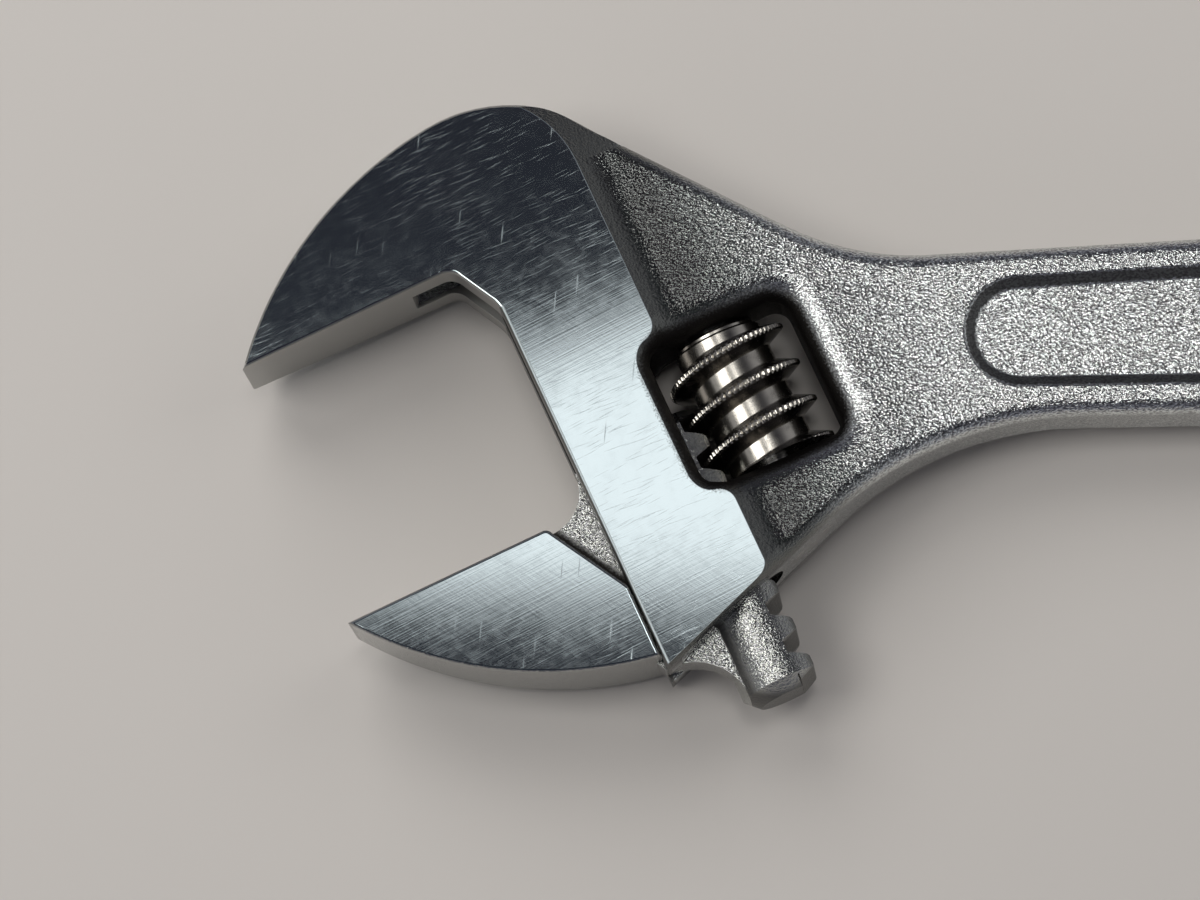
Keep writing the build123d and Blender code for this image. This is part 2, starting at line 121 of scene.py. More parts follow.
def grow(tree, kind, inputs, **settings):
    """Adds one shader node: an input given as a socket is linked, any other is set."""
    added = tree.nodes.new(kind)
    for key, value in settings.items():
        setattr(added, key, value)
    for key, value in inputs.items():
        if isinstance(value, bpy.types.NodeSocket):
            tree.links.new(value, added.inputs[key])
        else:
            added.inputs[key].default_value = value
    return added


def reckon(tree, operation, *values):
    """Output of one Math node."""
    return grow(tree, "ShaderNodeMath", dict(enumerate(values)), operation=operation).outputs[0]


def both(tree, *shares):
    """Product of shares: 1 only where each is 1."""
    product = shares[0]
    for share in shares[1:]:
        product = reckon(tree, "MULTIPLY", product, share)
    return product


def either(tree, *shares):
    """Largest of the shares."""
    largest = shares[0]
    for share in shares[1:]:
        largest = reckon(tree, "MAXIMUM", largest, share)
    return largest


def rest_of(tree, share):
    """What a share leaves of 1."""
    return reckon(tree, "SUBTRACT", 1.0, share)


def within(tree, value, low, high):
    """1 between two values."""
    return both(tree, reckon(tree, "GREATER_THAN", value, low), reckon(tree, "LESS_THAN", value, high))


def rise(tree, value, low, high):
    """Smooth step of a value: 0 below low, 1 above high."""
    inputs = {"Value": value, "From Min": low, "From Max": high}
    return grow(tree, "ShaderNodeMapRange", inputs, interpolation_type="SMOOTHSTEP").outputs["Result"]


def radius_of(tree, first, second):
    """Root of the sum of two squares."""
    squares = reckon(tree, "MULTIPLY_ADD", first, first, reckon(tree, "MULTIPLY", second, second))
    return reckon(tree, "SQRT", squares)


def blend(tree, share, first, second):
    """First number where share is 0, second where it is 1."""
    return grow(tree, "ShaderNodeMix", {"Factor": share, "A": first, "B": second}).outputs["Result"]


def tint(tree, share, first, second):
    """First colour where share is 0, second where it is 1."""
    mixed = grow(tree, "ShaderNodeMix", {0: share}, data_type="RGBA")
    for socket, value in zip([one for one in mixed.inputs if one.type == "RGBA"], (first, second)):
        if isinstance(value, bpy.types.NodeSocket):
            tree.links.new(value, socket)
        else:
            socket.default_value = value
    return next(one for one in mixed.outputs if one.type == "RGBA")


def new_finish(name, metallic):
    """An empty material: its node tree, its shader and the object's own coordinates."""
    finish = bpy.data.materials.new(name)
    finish.use_nodes = True
    tree = finish.node_tree
    shader = tree.nodes["Principled BSDF"]
    shader.inputs["Metallic"].default_value = metallic
    return finish, tree, shader, tree.nodes.new("ShaderNodeTexCoord").outputs["Object"]


def head_axes(tree, place):
    """Object coordinates turned into the head's own axes, in millimetres from the corner of the mouth."""
    turn = Matrix.Rotation(-HEAD_ANGLE, 3, "Z")
    inputs = {
        "Vector": place,
        "Location": -(turn @ HEAD_ORIGIN_MM),
        "Rotation": (0.0, 0.0, -HEAD_ANGLE),
        "Scale": (MM_PER_METRE,) * 3,
    }
    return grow(tree, "ShaderNodeMapping", inputs).outputs["Vector"]


def laid_out(tree, place, stretch, turn):
    """Coordinates turned about the upright axis and measured in units of the given stretch."""
    inputs = {"Vector": place, "Rotation": (0.0, 0.0, turn), "Scale": stretch}
    return grow(tree, "ShaderNodeMapping", inputs, vector_type="TEXTURE").outputs["Vector"]


def noise(tree, place, scale, detail, stretch=(1.0, 1.0, 1.0), turn=0.0):
    """Fractal noise on stretched and turned coordinates."""
    inputs = {"Vector": laid_out(tree, place, stretch, turn), "Scale": scale, "Detail": detail}
    return grow(tree, "ShaderNodeTexNoise", inputs).outputs["Fac"]


def scratches(tree, place, turn, length, width, reach):
    """Short straight scratches: stretched cells hold one each, 1 on its line and 0 from its reach on."""
    laid = laid_out(tree, place, (length, width, 1.0), turn)
    cells = grow(tree, "ShaderNodeTexVoronoi", {"Vector": laid, "Scale": 1.0}, voronoi_dimensions="2D")
    inputs = {"Value": cells.outputs["Distance"], "From Max": reach, "To Min": 1.0, "To Max": 0.0}
    return grow(tree, "ShaderNodeMapRange", inputs).outputs["Result"]


def bump(tree, height, relief, below=None):
    """Normal bent by a height of the given relief in metres, over the normal below it."""
    inputs = {"Height": height, "Distance": relief, "Strength": 1.0}
    if below is not None:
        inputs["Normal"] = below
    return grow(tree, "ShaderNodeBump", inputs).outputs["Normal"]


def ragged(tree, parts, spread):
    """Grainy offset about zero, for the uneven edge of the painted shade."""
    place = grow(tree, "ShaderNodeCombineXYZ", {axis: parts[axis] for axis in "XYZ"}).outputs["Vector"]
    return reckon(tree, "MULTIPLY_ADD", noise(tree, place, GRAIN_PER_MM, 1.0), spread, -spread / 2)


def polish_roughness(tree, axes, parts):
    """Roughness of the polished faces: a low even value, with haze, mottling and scratches over it."""
    worn = rise(tree, noise(tree, axes, WEAR_PER_MM, 2.0), *WEAR_PATCH)
    worn = reckon(tree, "MULTIPLY_ADD", worn, 1.0 - WEAR_LEAST, WEAR_LEAST)
    worn = either(tree, worn, rise(tree, parts["X"], *WORN_EDGE_MM))
    kinds = (SCRATCHES_ALONG, SCRATCHES_CROSSING, SCRATCHES_STEEP)
    marks = both(tree, either(tree, *[scratches(tree, axes, **kind) for kind in kinds]), worn)
    haze = rise(tree, noise(tree, axes, HAZE_PER_MM, 3.0), *HAZE_EDGE)
    mottle = rise(tree, noise(tree, axes, MOTTLE_PER_MM, 3.0), *MOTTLE_EDGE)
    rough = reckon(tree, "MULTIPLY_ADD", haze, HAZE_ROUGHNESS, POLISH_ROUGHNESS)
    rough = reckon(tree, "MULTIPLY_ADD", mottle, MOTTLE_ROUGHNESS, rough)
    return blend(tree, marks, rough, SCRATCH_ROUGHNESS)


def plated_steel(name, polish_share, ground_share, shade_share, grain_relief, satin_colour, near_worm_shade_share):
    """Chrome plate in three finishes, grained, polished and milled.

    Each share is a function of the head's axes that says where its finish lies. Painted shade darkens
    the grain of the broad faces near the worm, and a painted shade covers all three finishes where it lies.
    """
    finish, tree, shader, place = new_finish(name, 1.0)
    axes = head_axes(tree, place)
    parts = grow(tree, "ShaderNodeSeparateXYZ", {"Vector": axes}).outputs
    polished = polish_share(tree, parts)
    ground = both(tree, ground_share(tree, parts), rest_of(tree, polished))
    smooth = either(tree, polished, ground)
    # Painted shade: a near-black colour with raised roughness, over every finish where its share lies.
    painted_shade = shade_share(tree, parts)

    grain = noise(tree, axes, GRAIN_PER_MM, 2.0, GRAIN_STRETCH, -HEAD_ANGLE)
    swell = noise(tree, axes, SWELL_PER_MM, 1.0)
    relief = reckon(tree, "MULTIPLY_ADD", swell, SWELL_SHARE, grain)
    rubbed = noise(tree, axes, 1.0, 2.0, RUB_STRETCH, RUB_TURN)
    brushed = noise(tree, axes, 1.0, 2.0, BRUSH_STRETCH, BRUSH_TURN)
    brushed = reckon(tree, "MULTIPLY_ADD", rubbed, RUB_SHARE, brushed)
    bent = bump(tree, both(tree, brushed, smooth), BRUSH_RELIEF_M)
    bent = bump(tree, both(tree, relief, rest_of(tree, smooth)), grain_relief, bent)
    tree.links.new(bent, shader.inputs["Normal"])

    rough = reckon(tree, "MULTIPLY_ADD", swell, SATIN_ROUGHNESS_SPREAD, SATIN_LEAST_ROUGHNESS)
    rough = blend(tree, polished, rough, polish_roughness(tree, axes, parts))
    rough = blend(tree, ground, rough, GROUND_ROUGHNESS)
    tree.links.new(blend(tree, painted_shade, rough, PAINTED_SHADE_ROUGHNESS), shader.inputs["Roughness"])

    colour = tint(tree, rise(tree, grain, *PIT_EDGE), PIT_COLOUR, satin_colour)
    # Painted shade: the broad faces' grain is darkened near the worm, standing in for the dark reflection of
    # the slopes behind the pads.
    on_face = rise(tree, reckon(tree, "ABSOLUTE", parts["Z"]), *NEAR_WORM_SHADE_FACE_MM)
    darkening = both(tree, rest_of(tree, rise(tree, parts["X"], *NEAR_WORM_SHADE_MM)), on_face, near_worm_shade_share)
    colour = tint(tree, darkening, colour, NEAR_WORM_SHADE_COLOUR)
    colour = tint(tree, polished, colour, POLISH_COLOUR)
    colour = tint(tree, ground, colour, GROUND_COLOUR)
    tree.links.new(tint(tree, painted_shade, colour, PAINTED_SHADE_COLOUR), shader.inputs["Base Color"])
    return finish


def on_pad(tree, parts):
    """1 on the polished wedge faces: the height above the middle plane is the wedge's own."""
    height = reckon(tree, "ABSOLUTE", parts["Z"])
    wedge = reckon(tree, "MULTIPLY_ADD", parts["X"], PAD_WEDGE, HEAD_HALF_THICKNESS_MM)
    below = reckon(tree, "ABSOLUTE", reckon(tree, "SUBTRACT", wedge, height))
    return reckon(tree, "LESS_THAN", below, PAD_TOLERANCE_MM)


def in_mouth(tree, parts):
    """1 on the milled walls of the mouth, which are all below and in front of its corner."""
    furthest = reckon(tree, "MAXIMUM", parts["X"], parts["Y"])
    return reckon(tree, "LESS_THAN", furthest, MOUTH_EDGE_MM)


def in_recess_wall(tree, parts):
    """Share of painted shade on the sloping wall round the handle's recess, with a ragged edge.

    The head's axes are turned back into the station along the handle and the offset from its centre line.
    """
    cos_head, sin_head = math.cos(HEAD_ANGLE), math.sin(HEAD_ANGLE)
    station = reckon(tree, "MULTIPLY", parts["X"], cos_head)
    station = reckon(tree, "MULTIPLY_ADD", parts["Y"], -sin_head, station)
    offset = reckon(tree, "MULTIPLY_ADD", parts["Y"], cos_head, HANDLE_DROP_MM)
    offset = reckon(tree, "MULTIPLY_ADD", parts["X"], sin_head, offset)
    half = reckon(tree, "MULTIPLY_ADD", station, RECESS_FLARE, RECESS_HALF_MM)
    aside = reckon(tree, "LESS_THAN", reckon(tree, "ABSOLUTE", offset), half)
    height = reckon(tree, "ADD", reckon(tree, "ABSOLUTE", parts["Z"]), ragged(tree, parts, RECESS_RAGGED_MM))
    along = within(tree, station, *RECESS_STATION_MM)
    return both(tree, aside, along, within(tree, height, *RECESS_WALL_MM), RECESS_SHADE)


def in_channel(tree, parts):
    """Share of painted shade in the bar's bore and the web's slot, deepening from the heel up to the crown.
    """
    from_bar = reckon(tree, "SUBTRACT", parts["X"], BORE_AXIS_MM)
    bore = within(tree, radius_of(tree, from_bar, parts["Z"]), 0.0, BORE_RADIUS_MM)
    slot = reckon(tree, "LESS_THAN", reckon(tree, "ABSOLUTE", parts["Z"]), SLOT_HALF_MM)
    slot = both(tree, slot, within(tree, parts["X"], SLOT_FRONT_MM, BORE_AXIS_MM))
    under_crown = reckon(tree, "LESS_THAN", parts["Y"], CHANNEL_TOP_MM)
    deep = both(tree, rise(tree, parts["Y"], *CHANNEL_SHADE_MM), under_crown)
    return both(tree, either(tree, bore, slot), deep)


def in_window(tree, parts):
    """Share of painted shade on the worm window's walls, by the distance outside its straight sides."""
    past = []
    for axis, middle, straight in zip("XY", WINDOW_MIDDLE_MM, WINDOW_STRAIGHT_MM):
        aside = reckon(tree, "ABSOLUTE", reckon(tree, "SUBTRACT", parts[axis], middle))
        past.append(reckon(tree, "MAXIMUM", reckon(tree, "SUBTRACT", aside, straight), 0.0))
    outside = reckon(tree, "ADD", radius_of(tree, *past), ragged(tree, parts, WINDOW_RAGGED_MM))
    return rest_of(tree, rise(tree, outside, *WINDOW_SHADE_MM))


def on_front(tree, parts):
    """Share of painted shade on the head's front face, where the sliding jaw runs."""
    front = reckon(tree, "LESS_THAN", parts["X"], MOUTH_EDGE_MM)
    return both(tree, front, reckon(tree, "LESS_THAN", parts["Y"], FRONT_SHADE_FROM_MM), FRONT_SHADE)


def shade_in_openings(tree, parts):
    """Share of painted shade on the forging: in its openings, on its front face and in the handle's recess.
    """
    places = (in_channel, in_window, on_front, in_recess_wall)
    return either(tree, *[place(tree, parts) for place in places])


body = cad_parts["forged_body"]
body.data.materials[0] = plated_steel(
    "forged_chrome", on_pad, in_mouth, shade_in_openings, FORGED_RELIEF_M, SATIN_COLOUR, NEAR_WORM_SHADE
)

# The sliding jaw: a machined block on a flat web, in one piece with the round toothed bar that runs in
# the head. Its broad faces are polished with the head's, the web and the bar keep a satin plate, and
# shade is painted dark on the bar's flanks, at the tooth roots, on the toothed end and beside the bevel.

JAW_FACE_MM = -24.8
JAW_FACE_EDGE_MM = 0.34
WEB_HALF_MM = 2.4
WEB_FROM_MM = -7.0
BAR_END_MM = -46.3
# Painted shade at the tooth roots, on the bar's flanks, on its toothed end inside the head and beside the
# block's bevel.
RACK_ROOT_MM = (10.1, 10.25)
RACK_SHADE_MM = 3.6
BAR_INSIDE_MM = (-36.0, -31.0)
BAR_INSIDE_SHADE = 0.25
BAR_FRONT_MM = 5.5
BAR_FLANK_MM = (2.5, 3.5)
BAR_FLANK_SHADE = 0.7
BEVEL_TOP_MM = (-4.5, -24.8)
BEVEL_END_MM = -32.7
BEVEL_FACING = (0.8664, 0.4993)
BEVEL_FOOT_MM = -0.3
BEVEL_SHADE_MM = (0.45, 1.3)
BEVEL_RAGGED_MM = 0.5
CAST_RELIEF_M = 0.000085
CAST_COLOUR = (0.43, 0.44, 0.415, 1.0)
NO_NEAR_WORM_SHADE = 0.0


def on_jaw_face(tree, parts):
    """1 on the gripping face and its rounded rim, but not on the web."""
    face = within(tree, parts["Y"], JAW_FACE_MM - JAW_FACE_EDGE_MM, JAW_FACE_MM + PAD_TOLERANCE_MM)
    past_web = reckon(tree, "GREATER_THAN", reckon(tree, "ABSOLUTE", parts["Z"]), WEB_HALF_MM)
    before_web = reckon(tree, "LESS_THAN", parts["X"], WEB_FROM_MM)
    return both(tree, face, either(tree, past_web, before_web))


def at_tooth_roots(tree, parts):
    """1 at the roots of the rack's teeth, above the bar's lower end."""
    across = within(tree, parts["Z"], -RACK_SHADE_MM, RACK_SHADE_MM)
    above_end = reckon(tree, "GREATER_THAN", parts["Y"], BAR_END_MM)
    return both(tree, within(tree, parts["X"], *RACK_ROOT_MM), across, above_end)


def shade_on_bar(tree, parts):
    """Share of painted shade on the bar: most on its flanks, less on the toothed side of the end inside the
    head.
    """
    behind_web = reckon(tree, "GREATER_THAN", parts["X"], BAR_FRONT_MM)
    low = rest_of(tree, rise(tree, reckon(tree, "ABSOLUTE", parts["Z"]), *BAR_FLANK_MM))
    toothed = reckon(tree, "GREATER_THAN", parts["X"], BORE_AXIS_MM)
    inside = both(tree, rise(tree, parts["Y"], *BAR_INSIDE_MM), toothed, BAR_INSIDE_SHADE)
    return either(tree, both(tree, low, behind_web, BAR_FLANK_SHADE), inside)


def in_web_corner(tree, parts):
    """Share of painted shade on the web beside the block's bevel, by the distance from the bevel's plane."""
    from_top = [reckon(tree, "SUBTRACT", parts[axis], top) for axis, top in zip("XY", BEVEL_TOP_MM)]
    away = reckon(tree, "MULTIPLY", from_top[0], BEVEL_FACING[0])
    away = reckon(tree, "MULTIPLY_ADD", from_top[1], BEVEL_FACING[1], away)
    away = reckon(tree, "ADD", away, ragged(tree, parts, BEVEL_RAGGED_MM))
    near = rest_of(tree, rise(tree, away, *BEVEL_SHADE_MM))
    past_foot = reckon(tree, "GREATER_THAN", away, BEVEL_FOOT_MM)
    on_web = reckon(tree, "LESS_THAN", reckon(tree, "ABSOLUTE", parts["Z"]), WEB_HALF_MM)
    above_end = reckon(tree, "GREATER_THAN", parts["Y"], BEVEL_END_MM)
    return both(tree, near, past_foot, on_web, above_end)


def shade_on_rack_and_web(tree, parts):
    """Share of painted shade on the sliding jaw."""
    return either(tree, *[place(tree, parts) for place in (at_tooth_roots, in_web_corner, shade_on_bar)])


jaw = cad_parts["sliding_jaw"]
jaw.data.materials[0] = plated_steel(
    "jaw_chrome", on_pad, on_jaw_face, shade_on_rack_and_web, CAST_RELIEF_M, CAST_COLOUR, NO_NEAR_WORM_SHADE
)

# The worm: turned from steel, with a coarse thread that drives the bar's teeth, a knurled crest for the
# thumb and a stepped hub. It is left unplated, with patches of oil, and painted shade darkens the thread's
# flanks.

WORM_AXIS_MM = 16.45
WORM_CREST_MM = 5.9
WORM_CORE_MM = 4.1
WORM_BOTTOM_MM = -27.0
WORM_TOP_MM = -14.3
HUB_FOOT_MM = -15.9
HUB_STEP_MM = -14.75
HUB_NECK_MM = 3.75
HUB_CHAMFER_MM = 0.2
POCKET_RADIUS_MM = 3.2
POCKET_FLOOR_MM = -18.3
PIN_BORE_MM = 2.06
THREAD_LEAD_MM = 3.6
THREAD_CENTRE_MM = -44.67
CREST_HALF_MM = 0.325
CREST_FLAT_MM = 0.16
CREST_ROUND_MM = 0.06
FLANK_LEAD_IN_MM = 0.04
ROOT_HALF_MM = 1.1
KNURL_RIDGES = 64
KNURL_STEPS = 8
KNURL_DEPTH_MM = 0.22
DOUBLES_M = 1e-6
SMOOTH_ANGLE = math.radians(32.0)
FILM_PER_MM = 0.8
FILM_PATCH = (0.45, 0.8)
FILM_SHARE = 0.5
STEEL_LEAST_ROUGHNESS = 0.12
STEEL_ROUGHNESS_SPREAD = 0.25
TURNED_STRETCH = (3.0, 0.1, 3.0)
TURNED_RELIEF_M = 0.0000015
WORM_BRIGHT = (0.52, 0.495, 0.445, 1.0)
WORM_OIL_AND_SHADE = (0.15, 0.14, 0.13, 1.0)
WORM_CORE_EDGE_MM = (4.15, 4.5)
WORM_CREST_EDGE_MM = (5.45, 5.65)


def worm_surface():
    """Closed grid of radius and height round the worm's axis.

    The rows follow the thread's breakpoints, so each rises by the lead in one turn. Heights are held
    between the worm's lower end and the hub, and each radius is the thread's profile at that height:
    a straight flank from core to crest, and on the crest one cosine wave for each knurled ridge.
    """
    theta = np.linspace(0.0, 2 * np.pi, KNURL_RIDGES * KNURL_STEPS + 1)
    half = np.array([CREST_FLAT_MM, CREST_HALF_MM, CREST_HALF_MM + FLANK_LEAD_IN_MM, ROOT_HALF_MM])
    offsets = np.concatenate([-half[::-1], half])
    first_turn = math.floor((WORM_BOTTOM_MM - THREAD_CENTRE_MM) / THREAD_LEAD_MM) - 2
    last_turn = math.ceil((HUB_FOOT_MM - THREAD_CENTRE_MM) / THREAD_LEAD_MM) + 1
    turns = THREAD_CENTRE_MM + THREAD_LEAD_MM * np.arange(first_turn, last_turn)
    rows = (turns[:, None] + offsets).ravel()
    helix = THREAD_LEAD_MM * theta / (2 * np.pi)
    height = np.clip(rows[:, None] + helix, WORM_BOTTOM_MM, HUB_FOOT_MM)
    from_centre = (height - THREAD_CENTRE_MM - helix + THREAD_LEAD_MM / 2) % THREAD_LEAD_MM
    from_centre = np.abs(from_centre - THREAD_LEAD_MM / 2)
    crest = WORM_CREST_MM - KNURL_DEPTH_MM * (0.5 - 0.5 * np.cos(KNURL_RIDGES * theta))
    shoulder = np.full_like(theta, WORM_CREST_MM - CREST_ROUND_MM - KNURL_DEPTH_MM)
    core = np.full_like(theta, WORM_CORE_MM)
    on_crest = np.clip((from_centre - CREST_FLAT_MM) / (CREST_HALF_MM - CREST_FLAT_MM), 0.0, 1.0)
    on_flank = np.clip((from_centre - CREST_HALF_MM) / (ROOT_HALF_MM - CREST_HALF_MM), 0.0, 1.0)
    flank_radius = shoulder + (core - shoulder) * on_flank
    radius = np.where(on_flank > 0.0, flank_radius, crest + (shoulder - crest) * on_crest)

    ends = np.array(
        [
            [WORM_CORE_MM, HUB_FOOT_MM],
            [WORM_CORE_MM, HUB_STEP_MM - HUB_CHAMFER_MM],
            [WORM_CORE_MM - HUB_CHAMFER_MM, HUB_STEP_MM],
            [HUB_NECK_MM, HUB_STEP_MM],
            [HUB_NECK_MM, WORM_TOP_MM - HUB_CHAMFER_MM],
            [HUB_NECK_MM - HUB_CHAMFER_MM, WORM_TOP_MM],
            [POCKET_RADIUS_MM, WORM_TOP_MM],
            [POCKET_RADIUS_MM, POCKET_FLOOR_MM],
            [PIN_BORE_MM, POCKET_FLOOR_MM],
            [PIN_BORE_MM, WORM_BOTTOM_MM],
        ]
    )
    around = np.ones_like(theta)
    return theta, np.vstack([radius, ends[:, :1] * around]), np.vstack([height, ends[:, 1:] * around])


def worm_piece():
    """The worm's grid set on its axis in the head, closed both ways, with its doubles merged."""
    theta, radius, height = worm_surface()
    p = WORM_AXIS_MM + radius * np.cos(theta)
    z = -radius * np.sin(theta)
    cos_head, sin_head = math.cos(HEAD_ANGLE), math.sin(HEAD_ANGLE)
    points = np.stack([p * cos_head - height * sin_head, p * sin_head + height * cos_head, z], axis=-1)
    points = (points + np.array(HEAD_ORIGIN_MM)) / MM_PER_METRE
    below = np.arange(radius.size).reshape(radius.shape)
    above = np.roll(below, -1, axis=0)
    faces = np.stack([below[:, :-1], below[:, 1:], above[:, 1:], above[:, :-1]], axis=-1).reshape(-1, 4)
    mesh = bpy.data.meshes.new("knurled_worm_piece")
    mesh.from_pydata(points.reshape(-1, 3).tolist(), [], faces.tolist())
    shell = bmesh.new()
    shell.from_mesh(mesh)
    bmesh.ops.remove_doubles(shell, verts=shell.verts, dist=DOUBLES_M)
    bmesh.ops.recalc_face_normals(shell, faces=shell.faces)
    shell.to_mesh(mesh)
    shell.free()
    mesh.polygons.foreach_set("use_smooth", np.ones(len(mesh.polygons), dtype=bool))
    mesh.set_sharp_from_angle(angle=SMOOTH_ANGLE)
    piece = bpy.data.objects.new("knurled_worm_piece", mesh)
    bpy.context.scene.collection.objects.link(piece)
    return piece


def oiled_and_shaded_steel(name, bright, dark, bright_within, worn_past):
    """Bare turned steel under a patchy film of oil.

    It is bright near the worm's axis and where the rim is worn, and painted shade darkens it between the two
    radii.
    """
    finish, tree, shader, place = new_finish(name, 1.0)
    axes = head_axes(tree, place)
    parts = grow(tree, "ShaderNodeSeparateXYZ", {"Vector": axes}).outputs
    radius = radius_of(tree, reckon(tree, "SUBTRACT", parts["X"], WORM_AXIS_MM), parts["Z"])
    darkening = noise(tree, axes, FILM_PER_MM, 3.0)
    turned = noise(tree, axes, 1.0, 1.0, TURNED_STRETCH)
    # Painted shade: the band between the two radii, the thread's flanks, is darkened.
    flank = both(tree, rise(tree, radius, *bright_within), rest_of(tree, rise(tree, radius, *worn_past)))
    oil_and_shade = either(tree, flank, both(tree, rise(tree, darkening, *FILM_PATCH), FILM_SHARE))
    rough = reckon(tree, "MULTIPLY_ADD", darkening, STEEL_ROUGHNESS_SPREAD, STEEL_LEAST_ROUGHNESS)
    tree.links.new(tint(tree, oil_and_shade, bright, dark), shader.inputs["Base Color"])
    tree.links.new(rough, shader.inputs["Roughness"])
    tree.links.new(bump(tree, turned, TURNED_RELIEF_M), shader.inputs["Normal"])
    return finish


worm = worm_piece()
worm.data.materials.append(
    oiled_and_shaded_steel("worm_steel", WORM_BRIGHT, WORM_OIL_AND_SHADE, WORM_CORE_EDGE_MM, WORM_CREST_EDGE_MM)
)
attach(worm, "worm")
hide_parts("knurled_worm")

# The worm's pin: a plain stepped pin of turned steel, pressed through the lower wall of the head and the
# worm, and dressed flush outside.

PIN_BRIGHT = (0.55, 0.55, 0.54, 1.0)
PIN_OILED = (0.45, 0.45, 0.44, 1.0)
PIN_SHANK_EDGE_MM = (1.9, 2.1)
PIN_FOOT_EDGE_MM = (2.3, 2.4)

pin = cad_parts["worm_pin"]
pin.data.materials[0] = oiled_and_shaded_steel("pin_steel", PIN_BRIGHT, PIN_OILED, PIN_SHANK_EDGE_MM, PIN_FOOT_EDGE_MM)

# The worm's spring: drawn steel wire, coiled round the pin to take up the worm's end play. It is held
# between the floor of the worm's pocket and the upper wall of the window.

WIRE_BRIGHT = (0.46, 0.46, 0.46, 1.0)
WIRE_OILED = (0.36, 0.36, 0.36, 1.0)
WIRE_INNER_EDGE_MM = (2.4, 2.6)
WIRE_OUTER_EDGE_MM = (2.7, 2.9)

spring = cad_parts["worm_spring"]
spring.data.materials[0] = oiled_and_shaded_steel(
    "spring_steel", WIRE_BRIGHT, WIRE_OILED, WIRE_INNER_EDGE_MM, WIRE_OUTER_EDGE_MM
)

# The table that the wrench lies on: a pale, plain, matt sheet. The wrench rests on the head's lower
# face and on the handle's end, so the sheet leans a little to meet both.

FLOOR_SIZE_M = 3.0
FLOOR_TOUCH_M = -0.0555
FLOOR_LEAN = 0.0173
FLOOR_COLOUR = (0.70, 0.665, 0.625, 1.0)
FLOOR_SHADE = (0.66, 0.63, 0.595, 1.0)
FLOOR_SHADE_PER_M = 14.0
FLOOR_ROUGHNESS = 0.75

corners = np.array([[-1, -1], [1, -1], [1, 1], [-1, 1]]) * FLOOR_SIZE_M / 2
heights = (corners[:, :1] - FLOOR_TOUCH_M) * FLOOR_LEAN
floor_mesh = bpy.data.meshes.new("floor")
floor_mesh.from_pydata(np.hstack([corners, heights]).tolist(), [], [(0, 1, 2, 3)])
floor = bpy.data.objects.new("floor", floor_mesh)
bpy.context.scene.collection.objects.link(floor)
finish, tree, shader, place = new_finish("pale_sheet", 0.0)
shade = tint(tree, noise(tree, place, FLOOR_SHADE_PER_M, 3.0), FLOOR_COLOUR, FLOOR_SHADE)
tree.links.new(shade, shader.inputs["Base Color"])
shader.inputs["Roughness"].default_value = FLOOR_ROUGHNESS
floor_mesh.materials.append(finish)

# Studio light: a dim room, paler at the wrench's two ends, with one long wedge of light overhead that
# the polished faces mirror, and four soft square lamps round the table.

WEDGE_LIGHT = (1.42, 1.42, 1.42, 1.0)
OVERHEAD_LIGHT = (0.03, 0.03, 0.038, 1.0)
ROOM_LIGHT = (0.15, 0.15, 0.18, 1.0)
ROOM_END_LIGHT = (0.46, 0.46, 0.47, 1.0)
OVERHEAD_EDGE = (math.cos(math.radians(62)), math.cos(math.radians(34)))
WEDGE_CORNER = (-16.9, 7.45)
WEDGE_UPPER_SLOPE = 0.3
WEDGE_LOWER_SLOPE = -0.065
WEDGE_END = (4.0, 16.0)
WEDGE_SOFT = 0.5
WEDGE_HORIZON = 0.1
LEAST_UPWARD = 0.05
LEAST_SQUARE = 0.001
DEGREES = math.degrees(1.0)

world = bpy.data.worlds.new("studio")
bpy.context.scene.world = world
world.use_nodes = True
tree = world.node_tree
direction = tree.nodes.new("ShaderNodeTexCoord").outputs["Generated"]
look = grow(tree, "ShaderNodeSeparateXYZ", {"Vector": direction}).outputs
upward = reckon(tree, "MAXIMUM", look["Z"], LEAST_UPWARD)
along = reckon(tree, "MULTIPLY", reckon(tree, "DIVIDE", look["X"], upward), DEGREES)
aside = reckon(tree, "MULTIPLY", reckon(tree, "DIVIDE", look["Y"], upward), DEGREES)
from_corner = reckon(tree, "SUBTRACT", along, WEDGE_CORNER[0])
upper = reckon(tree, "MULTIPLY_ADD", from_corner, WEDGE_UPPER_SLOPE, WEDGE_CORNER[1])
lower = reckon(tree, "MULTIPLY_ADD", from_corner, WEDGE_LOWER_SLOPE, WEDGE_CORNER[1])
under_upper = rise(tree, reckon(tree, "SUBTRACT", upper, aside), -WEDGE_SOFT, WEDGE_SOFT)
over_lower = rise(tree, reckon(tree, "SUBTRACT", aside, lower), -WEDGE_SOFT, WEDGE_SOFT)
before_end = rest_of(tree, rise(tree, along, *WEDGE_END))
above_horizon = reckon(tree, "GREATER_THAN", look["Z"], WEDGE_HORIZON)
lit = both(tree, under_upper, over_lower, before_end, above_horizon)
length_square = reckon(tree, "MULTIPLY", look["X"], look["X"])
level_square = reckon(tree, "ADD", length_square, LEAST_SQUARE)
level_square = reckon(tree, "MULTIPLY_ADD", look["Y"], look["Y"], level_square)
walls = tint(tree, reckon(tree, "DIVIDE", length_square, level_square), ROOM_LIGHT, ROOM_END_LIGHT)
room = tint(tree, rise(tree, look["Z"], *OVERHEAD_EDGE), walls, OVERHEAD_LIGHT)
tree.links.new(tint(tree, lit, room, WEDGE_LIGHT), tree.nodes["Background"].inputs["Color"])

OVERHEAD_COLOUR = (1.0, 0.99, 0.975)
WARM_COLOUR = (1.0, 0.985, 0.96)


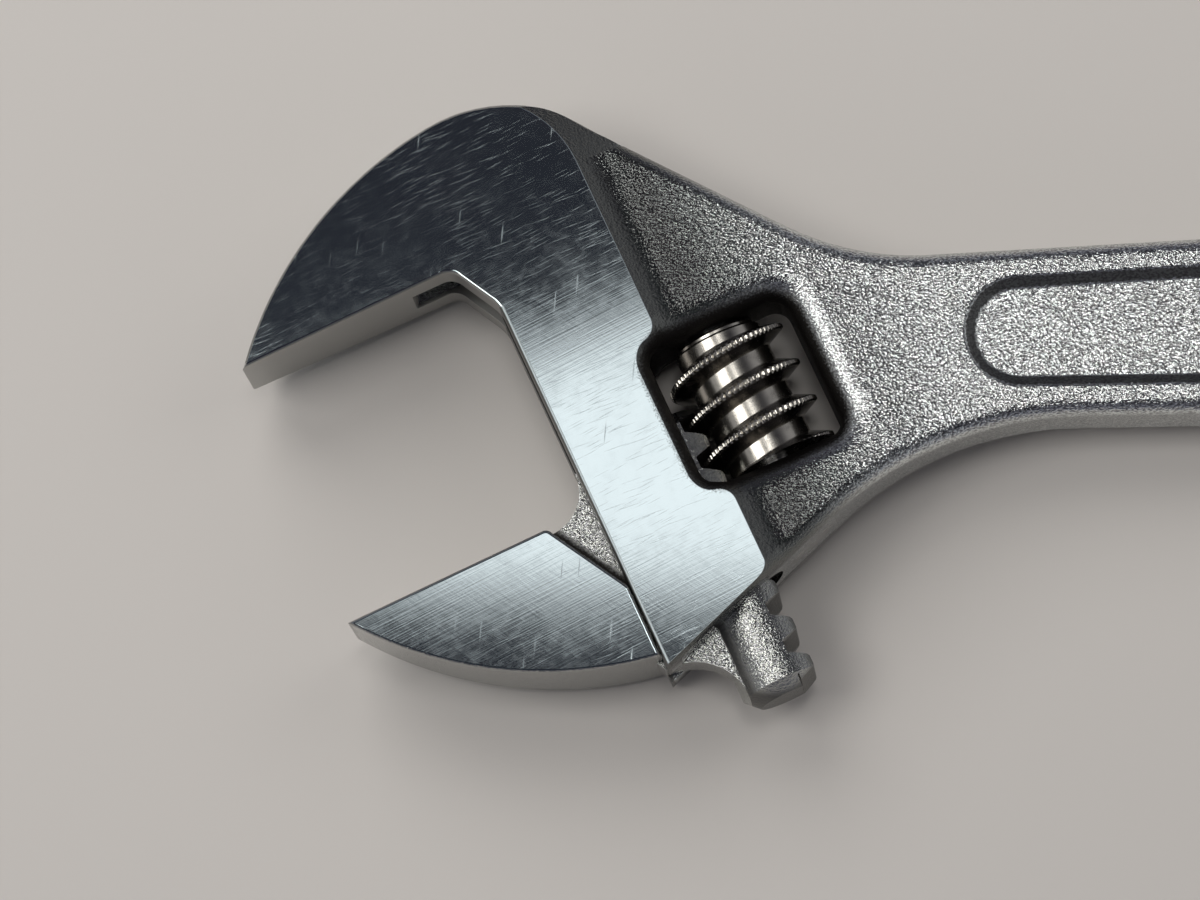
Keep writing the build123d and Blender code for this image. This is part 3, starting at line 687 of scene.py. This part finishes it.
def lamp(name, place, aim, size, radiance, colour, mirrored):
    """A square lamp that faces its aim and shows the given brightness, in the metal too if it is mirrored."""
    data = bpy.data.lights.new(name, "AREA")
    data.size = size
    data.energy = radiance * math.pi * size * size
    data.color = colour
    made = bpy.data.objects.new(name, data)
    bpy.context.scene.collection.objects.link(made)
    back = (Vector(place) - Vector(aim)).normalized()
    made.matrix_world = Matrix.Translation(place) @ back.to_track_quat("Z", "Y").to_matrix().to_4x4()
    made.visible_camera = False
    made.visible_glossy = mirrored


lamp(
    "overhead_lamp", place=(0.0, 0.10, 1.6), aim=(-0.03, 0.0, 0.0),
    size=0.28, radiance=10.0, colour=OVERHEAD_COLOUR, mirrored=True,
)
lamp(
    "left_lamp", place=(-0.48, -0.02, 0.75), aim=(-0.05, 0.0, 0.0),
    size=0.34, radiance=5.0, colour=WARM_COLOUR, mirrored=True,
)
lamp(
    "crown_fill", place=(-0.24, 0.32, 0.38), aim=(-0.05, 0.0, 0.0),
    size=0.34, radiance=2.6, colour=WARM_COLOUR, mirrored=False,
)
lamp(
    "handle_fill", place=(0.45, 0.30, 0.60), aim=(0.0, 0.0, 0.0),
    size=0.40, radiance=1.0, colour=WARM_COLOUR, mirrored=False,
)

# Camera: a long lens, nearly overhead and leaning towards the worm's lower side.

CAMERA_RIGHT = (0.9984089, -0.0275514, -0.0492)
CAMERA_UP = (0.0363929, 0.9813025, 0.189)
CAMERA_BACK = (0.0430729, -0.1904898, 0.9807438)
CAMERA_PLACE_MM = Vector((29.33136, -101.34845, 436.34253)) + HEAD_ORIGIN_MM
CAMERA_LENS_MM = 150.0
CAMERA_SENSOR_MM = 36.0

camera_data = bpy.data.cameras.new("camera")
camera_data.lens = CAMERA_LENS_MM
camera_data.sensor_width = CAMERA_SENSOR_MM
camera = bpy.data.objects.new("camera", camera_data)
bpy.context.scene.collection.objects.link(camera)
turned = Matrix((CAMERA_RIGHT, CAMERA_UP, CAMERA_BACK)).transposed().to_4x4()
camera.matrix_world = Matrix.Translation(CAMERA_PLACE_MM / MM_PER_METRE) @ turned
bpy.context.scene.camera = camera
bpy.context.scene.view_settings.view_transform = "Standard"
